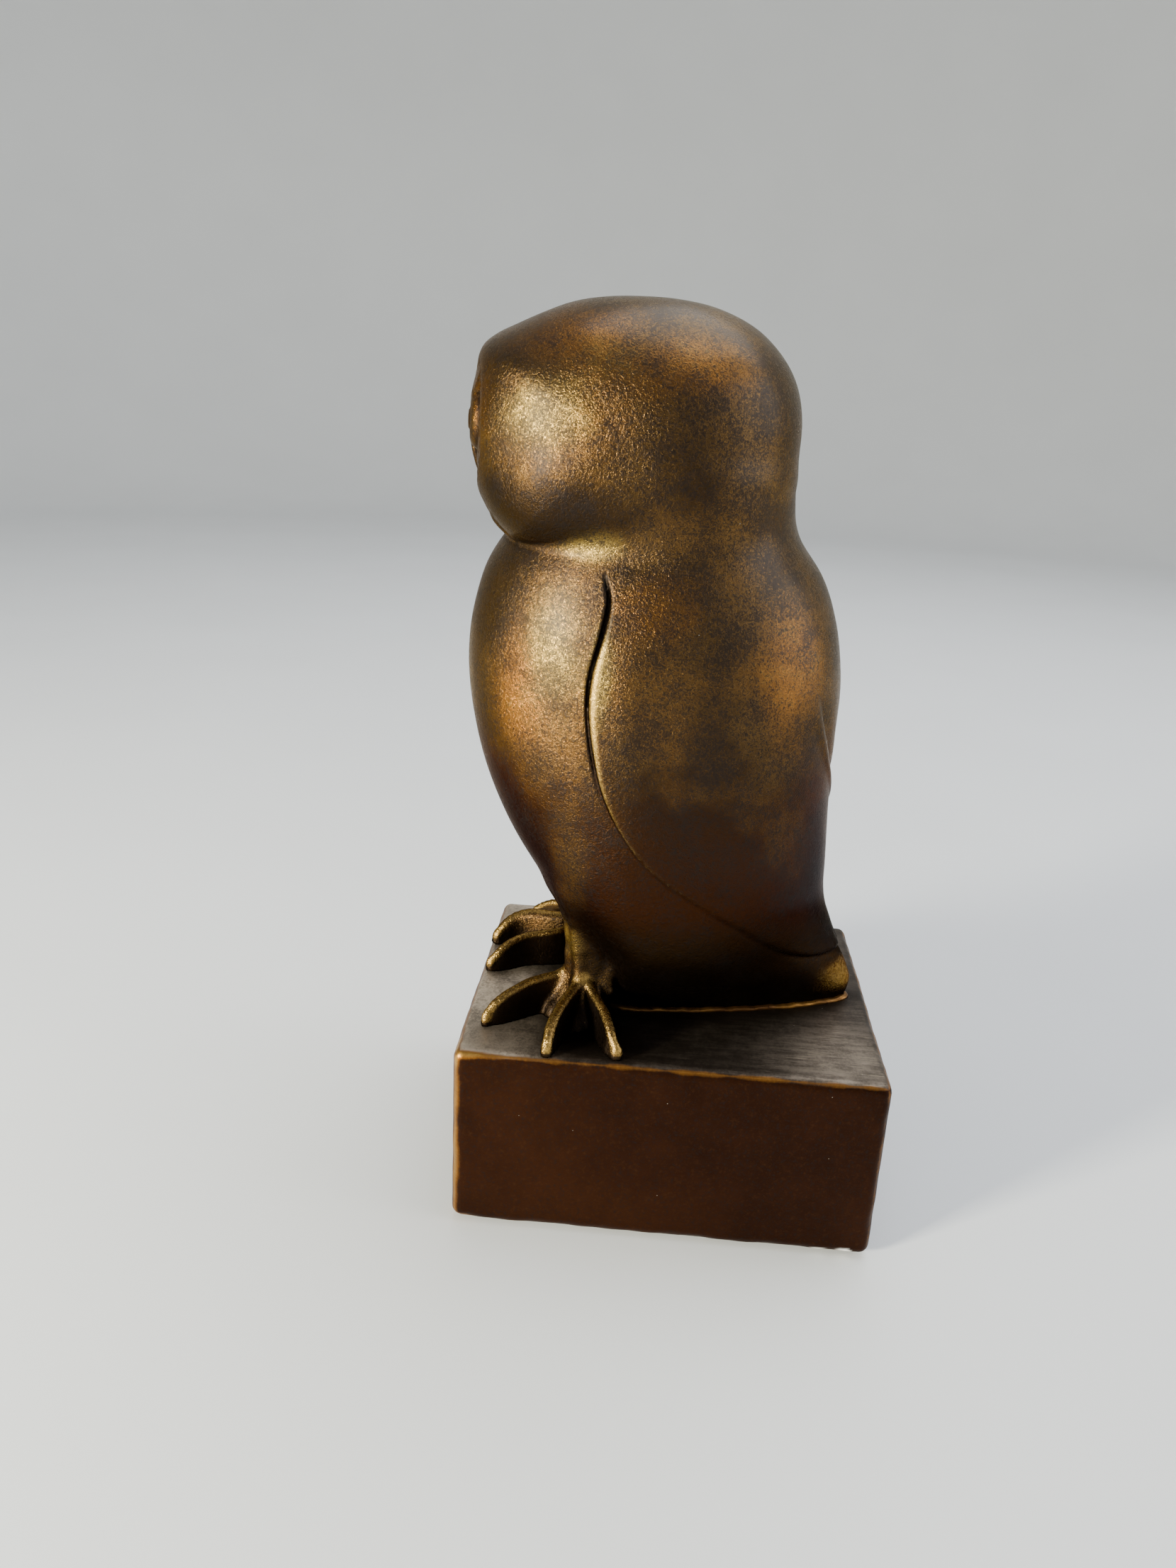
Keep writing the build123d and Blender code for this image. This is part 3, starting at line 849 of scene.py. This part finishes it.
# Where the paint is more orange, darker, barer and more golden: a point in mm and how far it reaches. The
# dark patches are partly painted shade; the gold patches are painted highlights, with some gold tone.
RUST_PATCHES = [((26, -34, 222), (26, 22, 12)), ((30, -8, 214), (18, 22, 12)),
                ((22, -56, 206), (12, 9, 18)),
                ((38, -12, 165), (18, 16, 12)), ((34, -44, 142), (16, 13, 26)), ((33, 24, 152), (18, 18, 26)),
                ((-28, -30, 218), (24, 26, 14)), ((-36, 4, 158), (18, 22, 18)),
                ((0, 34, 130), (22, 14, 22))]
# painted shade on the lower side of the head, where it turns under
HEAD_UNDERSIDE_SHADE = ((34, -42, 187), (26, 42, 14))
DARK_AND_SHADE_PATCHES = [((42, 6, 140), (12, 20, 26)), ((38, -6, 196), (14, 18, 16)), ((30, 18, 184), (20, 14, 10)),
                ((34, -36, 187), (24, 34, 12)), ((42, 4, 108), (14, 24, 22)), ((-40, 4, 130), (14, 24, 34)),
                ((0, 30, 190), (30, 16, 14))]
LEG_PATCHES = [((20, -28, 70), (12, 10, 34)), ((20, -24, 58), (16, 14, 16)), ((34, -28, 96), (14, 10, 30)),
               ((-19, -26, 64), (13, 12, 26)), ((-18, -44, 58), (9, 14, 8))]
GOLD_AND_HIGHLIGHT_PATCHES = [((37, -40, 206), (16, 18, 13)), ((36, -27, 178), (18, 15, 7)),
                ((37, -34, 155), (14, 13, 20)), ((41, -23, 150), (7, 5, 22)),
                ((-36, -40, 200), (18, 18, 18)), ((-38, -26, 150), (14, 20, 24)),
                ((0, -60, 140), (26, 12, 30)), ((20, -30, 76), (14, 12, 14))]
# Where the plinth's top is worn.
TOP_PATCHES = [((40, -47, TOP), (20, 16, 8)), ((-30, -48, TOP), (30, 22, 8)), ((36, 44, TOP), (26, 30, 8))]
SHEEN_IOR_LEVEL = 0.2


def patches(f, places):
    """The strongest of several soft patches."""
    result = 0.0
    for point, sizes in places:
        result = f.math("MAXIMUM", result, f.near(point, sizes))
    return result


def owl_finish():
    """Gold-bronze paint under a dark wash, with painted shade and painted highlights: the wash is rubbed off
    what stands out.
    """
    f = Finish("bronze_patina")
    fine, broad = f.read("fine_wear"), f.read("broad_wear")
    gilding, painted_shade = f.read("gilding"), f.read("painted_shade")
    cloud, drift = f.noise(11, 4, 0.62), f.noise(24, 2, 0.5, shift=40)
    grain = f.noise(0.20, 2, 0.6, twist=0.8)
    spots = f.noise(0.42, 3, 0.65, shift=15, twist=0.9)
    height, up = f.axis(f.place, "Z"), f.facing("Z")
    # low marks the lower body, painted darker and warmer there as painted shade and painted reflection
    low, foot = f.between(height, 150.0, 88.0), f.between(height, 92.0, 74.0)
    rusty, golden, dark, leg = (
        patches(f, places) for places in (RUST_PATCHES, GOLD_AND_HIGHLIGHT_PATCHES, DARK_AND_SHADE_PATCHES, LEG_PATCHES)
    )
    # colour under the wash
    rust = f.total((rusty, 0.40), (drift, 0.3), (cloud, 1.0), (spots, 0.25), (low, -0.10))
    orange = f.between(rust, 0.62, 1.25)
    # painted highlight where the lamp's reflection falls, mixed with random gold tone
    lit = f.total((golden, 0.42), (cloud, 0.80), (spots, 0.60), (broad, 0.25), (low, -0.22), -0.68)
    paint = f.mix(f.between(lit, 0.0, 0.50, 0.0, 0.9), f.mix(orange, BROWN, RUST), OLD_GOLD)
    # dark wash with painted shade: darker lower down, on faces turned down, in the hollows and creases, in
    # the slit, between the toes and under the head, in random patches; and specks in clusters higher up
    under = f.between(up, 0.12, -0.55)
    hollow, crease_shade = f.between(f.times(broad, -1.0), 0.05, 0.45), f.between(f.times(fine, -1.0), 0.06, 0.35)
    shade_and_wash = f.total((low, 0.86), (under, 0.38), (hollow, 0.35), (crease_shade, 0.45), (painted_shade, 0.75), (dark, 0.52),
                   (leg, -1.10), (f.near(*HEAD_UNDERSIDE_SHADE), 0.50), (f.noise(9, 5, 0.65, shift=23), 1.50),
                   (lit, -0.25), -0.72)
    ungilt = f.between(f.total(gilding, (grain, 0.7)), 1.15, 0.55)
    wash = f.times(f.between(shade_and_wash, 0.0, 0.95, 0.0, 0.92), ungilt)
    cluster = f.noise(6, 5, 0.7, shift=31)
    clusters = f.total((cluster, 0.80), (orange, -0.06), (low, -0.10), (lit, 0.06), -0.29)
    specks = f.between(f.total((spots, 0.55), (grain, 0.45), (clusters, 0.50)), 0.450, 0.635)
    # the wash warmer low on the body: a painted reflection
    colour = f.mix(wash, paint, f.mix(foot, f.mix(low, HIGH_UMBER, UMBER), FOOT_UMBER))
    colour = f.mix(f.times(specks, f.between(gilding, 0.0, 0.8, 0.86, 0.30)), colour, SPECK)
    # painted shade in the slit, between the toes and under the body
    colour = f.mix(f.times(painted_shade, 0.9), colour, SHADE_COLOUR)
    # gold rubbed over it, and dust
    rubbed = f.between(f.total((gilding, 0.60), (fine, 0.30), (spots, 0.55)), 0.50, 1.00)
    colour = f.mix(f.times(rubbed, 0.75), colour, GOLD)
    colour = f.mix(f.times(f.specks(8.5, 0.15), 0.6), colour, DUST)
    # a clear coat that shows more on top and at the back, and brown reflections
    coat = f.between(f.total(up, (f.facing("Y"), 0.35), (foot, -1.2)), -0.15, 0.75, 0.02, 0.30)
    tint = f.mix(low, (0.62, 0.54, 0.44), f.mix(foot, (0.22, 0.12, 0.07), (0.16, 0.12, 0.06)))
    metallic = f.between(specks, 0.0, 1.0, 0.97, 0.88)
    roughness = f.total((wash, 0.08), (specks, 0.12), (grain, 0.10), 0.17)
    pitted = f.bump(f.total(grain, (spots, 1.4)), 0.22, 0.60)
    normal = f.bump(f.noise(4.5, 2, 0.5, shift=3), 0.40, 0.4, after=pitted)
    return f.finish(colour, metallic, roughness, normal, Coat_Weight=coat, Coat_Roughness=0.32,
                    Specular_IOR_Level=SHEEN_IOR_LEVEL, Specular_Tint=tint)


def plinth_finish():
    """The same paint, darker and redder on the sides, brushed along Y on top and rubbed gold at the edges,
    with a painted reflection on the top's front, painted highlights on the edges and a painted shadow round
    the owl.
    """
    f = Finish("bronze_patina_plinth")
    bare, painted_shade = f.read("bare"), f.read("painted_shade")
    cloud, grain = f.noise(16, 4, 0.6), f.noise(0.40, 3, 0.7)
    # sides
    side = f.mix(f.between(cloud, 0.20, 0.90), (0.016, 0.0048, 0.0016), (0.040, 0.0125, 0.0038))
    rough_grain = f.total((grain, 0.6), (f.noise(1.1, 4, 0.7, shift=71), 0.4))
    side = f.mix(f.between(rough_grain, 0.48, 0.74, 0.0, 0.30), side, (0.075, 0.032, 0.011))
    side = f.mix(f.between(grain, 0.46, 0.34, 0.0, 0.6), side, SPECK)
    # top
    streaks = f.noise(0.8, 5, 0.72, stretch=(1, 9, 1), shift=12, twist=0.5)
    mottle = f.total((f.noise(3.0, 5, 0.7, shift=61), 0.6), (grain, 0.4))
    brushed = f.between(f.total((streaks, 0.35), (mottle, 0.45), (cloud, 0.2)), 0.42, 0.62)
    top = f.mix(brushed, (0.030, 0.022, 0.016), (0.085, 0.066, 0.050))
    # the front of the top lighter and greyer: a painted reflection
    front = f.between(f.axis(f.place, "Y"), -26.0, -46.0)
    top = f.mix(f.times(front, f.between(mottle, 0.36, 0.62, 0.30, 1.00)), top, (0.600, 0.490, 0.370))
    worn = patches(f, TOP_PATCHES)
    broken = f.between(f.total((streaks, 0.5), (mottle, 0.5)), 0.38, 0.62, 0.20, 0.85)
    top = f.mix(f.times(worn, broken), top, (0.23, 0.185, 0.14))
    scratches = f.between(f.noise(0.35, 3, 0.6, stretch=(1, 16, 1), shift=52), 0.60, 0.76)
    top = f.mix(f.times(scratches, f.between(worn, 0.0, 0.6, 0.08, 0.6)), top, (0.42, 0.34, 0.24))
    up = f.between(f.facing("Z"), 0.5, 0.9)
    # painted shadow of the owl on the top
    colour = f.mix(f.times(painted_shade, 0.93), f.mix(up, side, top), SHADE_COLOUR)
    # rubbed edges, dust and chips
    edge = f.total((f.read("edge"), 0.80), (f.noise(5, 4, 0.65, shift=9), 0.45), (grain, 0.25), -0.35)
    colour = f.mix(f.between(edge, 0.12, 0.60), colour, RUST)
    colour = f.mix(f.between(edge, 0.40, 0.95, 0.0, 0.80), colour, GOLD)
    colour = f.mix(f.times(f.specks(6.5, 0.16), 0.6), colour, DUST)
    colour = f.mix(bare, colour, PLASTER)
    metallic = f.times(f.between(edge, 0.1, 0.7, 0.90, 0.96), f.between(bare, 1.0, 0.0))
    roughness = f.total((grain, 0.14), (f.between(edge, 0.1, 0.7), -0.12), (bare, 0.4), 0.42)
    speckled = f.bump(f.total(grain, (f.noise(1.6, 3, 0.6, shift=5), 0.8)), 0.10, 0.5)
    normal = f.bump(f.times(streaks, up), 0.08, 0.5, after=speckled)
    return f.finish(colour, metallic, roughness, normal, Specular_IOR_Level=SHEEN_IOR_LEVEL)


def bead_finish():
    """Gold paint, laid by hand over the bead that closes the joint."""
    f = Finish("gilt_bead_paint")
    grain = f.noise(0.5, 3, 0.6)
    colour = f.mix(f.between(f.noise(5, 3, 0.6), 0.35, 0.85), (0.085, 0.036, 0.010), (0.340, 0.165, 0.036))
    colour = f.mix(f.between(grain, 0.58, 0.75), colour, UMBER)
    return f.finish(colour, 0.85, f.total((grain, 0.2), 0.26), f.bump(grain, 0.10, 0.6))


def steel_finish():
    """Drawn steel rod with turned marks and a trace of glue at the cut ends."""
    f = Finish("drawn_steel")
    rings = f.noise(0.25, 2, 0.5, stretch=(6, 6, 0.5))
    stain = f.noise(3, 3, 0.6, shift=4)
    colour = f.mix(f.between(rings, 0.35, 0.7), (0.42, 0.42, 0.43), (0.62, 0.62, 0.62))
    colour = f.mix(f.between(stain, 0.58, 0.75, 0.0, 0.7), colour, (0.20, 0.13, 0.08))
    return f.finish(colour, 0.95, f.total((rings, 0.2), 0.2), f.bump(rings, 0.05, 0.6))


def dowel_finish():
    """Turned hardwood with grain along its length."""
    f = Finish("turned_hardwood")
    grain = f.noise(0.5, 4, 0.65, stretch=(1, 1, 18))
    pores = f.noise(0.25, 2, 0.5, stretch=(1, 1, 14), shift=6)
    colour = f.mix(grain, (0.33, 0.19, 0.09), (0.62, 0.43, 0.24))
    colour = f.mix(f.between(pores, 0.62, 0.72), colour, (0.20, 0.11, 0.05))
    return f.finish(colour, 0.0, f.total((grain, 0.2), 0.5), f.bump(grain, 0.10, 0.7))


def felt_finish():
    """Pressed felt: matted fibres with darker and lighter flecks."""
    f = Finish("pressed_felt")
    fibres = f.noise(0.35, 4, 0.75)
    flecks = f.noise(1.4, 3, 0.6, shift=8)
    colour = f.mix(fibres, (0.010, 0.012, 0.010), (0.055, 0.060, 0.050))
    colour = f.mix(f.between(flecks, 0.58, 0.75, 0.0, 0.5), colour, (0.09, 0.085, 0.07))
    return f.finish(colour, 0.0, 0.95, f.bump(fibres, 0.25, 0.9))


# --- the object
def show(obj, material, node):
    """Dresses a sculpted piece and puts it in the place of its CAD node."""
    obj.data.materials.append(material)
    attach(obj, "root")
    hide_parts(node)


def paint(node, material):
    """Gives a CAD node's own mesh a material."""
    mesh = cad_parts[node].data
    mesh.materials.clear()
    mesh.materials.append(material)


show(make_owl(), owl_finish(), "owl_figure")
show(make_plinth(), plinth_finish(), "plinth")
show(make_bead(), bead_finish(), "bedding_bead")
steel = steel_finish()
paint("left_leg_rod", steel)
paint("right_leg_rod", steel)
paint("tail_dowel", dowel_finish())
paint("felt_pad", felt_finish())


# --- floor, light and camera
def make_floor():
    """A wide pale floor that curves up into a wall all round."""
    middle, flat, bend, rise, parts = 1.0, 1700.0, 600.0, 2600.0, 64
    curved = np.linspace(0, np.pi / 2, 13)
    out = np.concatenate([[middle], flat + bend * np.sin(curved), [flat + bend]])
    up = np.concatenate([[0.0], bend - bend * np.cos(curved), [rise]])
    turns = 2 * np.pi * np.arange(parts) / parts
    points = [np.outer(out, np.cos(turns)), np.outer(out, np.sin(turns)), np.outer(up, np.ones(parts))]
    upward = grid_faces(len(out), parts)[:-parts, [0, 3, 2, 1]]
    obj = mesh_object("studio_floor", np.stack(points, 2).reshape(-1, 3), upward)
    f = Finish("studio_paper")
    tone = f.mix(f.noise(60, 2, 0.5), (0.74, 0.74, 0.73), (0.79, 0.79, 0.78))
    obj.data.materials.append(f.finish(tone, 0.0, 0.8, None))


def area_light(name, direction, distance, size, power, colour):
    """A square soft light in a direction from the object's middle."""
    light = bpy.data.lights.new(name, "AREA")
    light.shape, light.size, light.energy, light.color = "SQUARE", size, power, colour
    away = Vector(direction).normalized()
    obj = placed(name, light)
    obj.location = Vector(LIGHT_AIM) + away * distance
    obj.rotation_euler = away.to_track_quat("Z", "Y").to_euler()


LIGHT_AIM = (0, 0, 0.13)
ROOM_COLOUR, ROOM_STRENGTH = (0.80, 0.86, 0.95, 1), 0.46

make_floor()
area_light("window", (0.62, -0.77, 0.14), distance=0.9, size=0.15, power=23.0, colour=(1.0, 0.98, 0.82))
area_light("ceiling", (-0.35, 0.25, 1.0), distance=1.2, size=1.1, power=17.0, colour=(0.88, 0.93, 1.0))
area_light("far_wall", (0.05, 1.0, 0.35), distance=1.2, size=0.9, power=8.0, colour=(0.92, 0.95, 1.0))

world = bpy.data.worlds.new("soft_room")
world.use_nodes = True
background = world.node_tree.nodes["Background"].inputs
background["Color"].default_value = ROOM_COLOUR
background["Strength"].default_value = ROOM_STRENGTH
bpy.context.scene.world = world

CAMERA_AT = (290.0, -8.8, 209.6)
CAMERA_TURN, CAMERA_DROP, CAMERA_ROLL = 3.575, 18.94, 2.84
CAMERA_LENS, CAMERA_SENSOR = 26.02, 36.0


def make_camera():
    """The camera at the near side, a hand's reach away, looking down at the plinth."""
    turn, drop, roll = np.radians([CAMERA_TURN, CAMERA_DROP, CAMERA_ROLL])
    ahead = -Vector((np.cos(turn) * np.cos(drop), np.sin(turn) * np.cos(drop), np.sin(drop)))
    right = ahead.cross(Vector((0, 0, 1))).normalized()
    up = right.cross(ahead)
    rolled_right = right * np.cos(roll) + up * np.sin(roll)
    rolled_up = up * np.cos(roll) - right * np.sin(roll)
    data = bpy.data.cameras.new("camera")
    data.lens, data.sensor_width, data.clip_start = CAMERA_LENS, CAMERA_SENSOR, 0.01
    turned = Matrix((rolled_right, rolled_up, -ahead)).transposed().to_4x4()
    camera = placed("camera", data)
    camera.matrix_world = Matrix.Translation(Vector(CAMERA_AT) * MM) @ turned
    bpy.context.scene.camera = camera


make_camera()
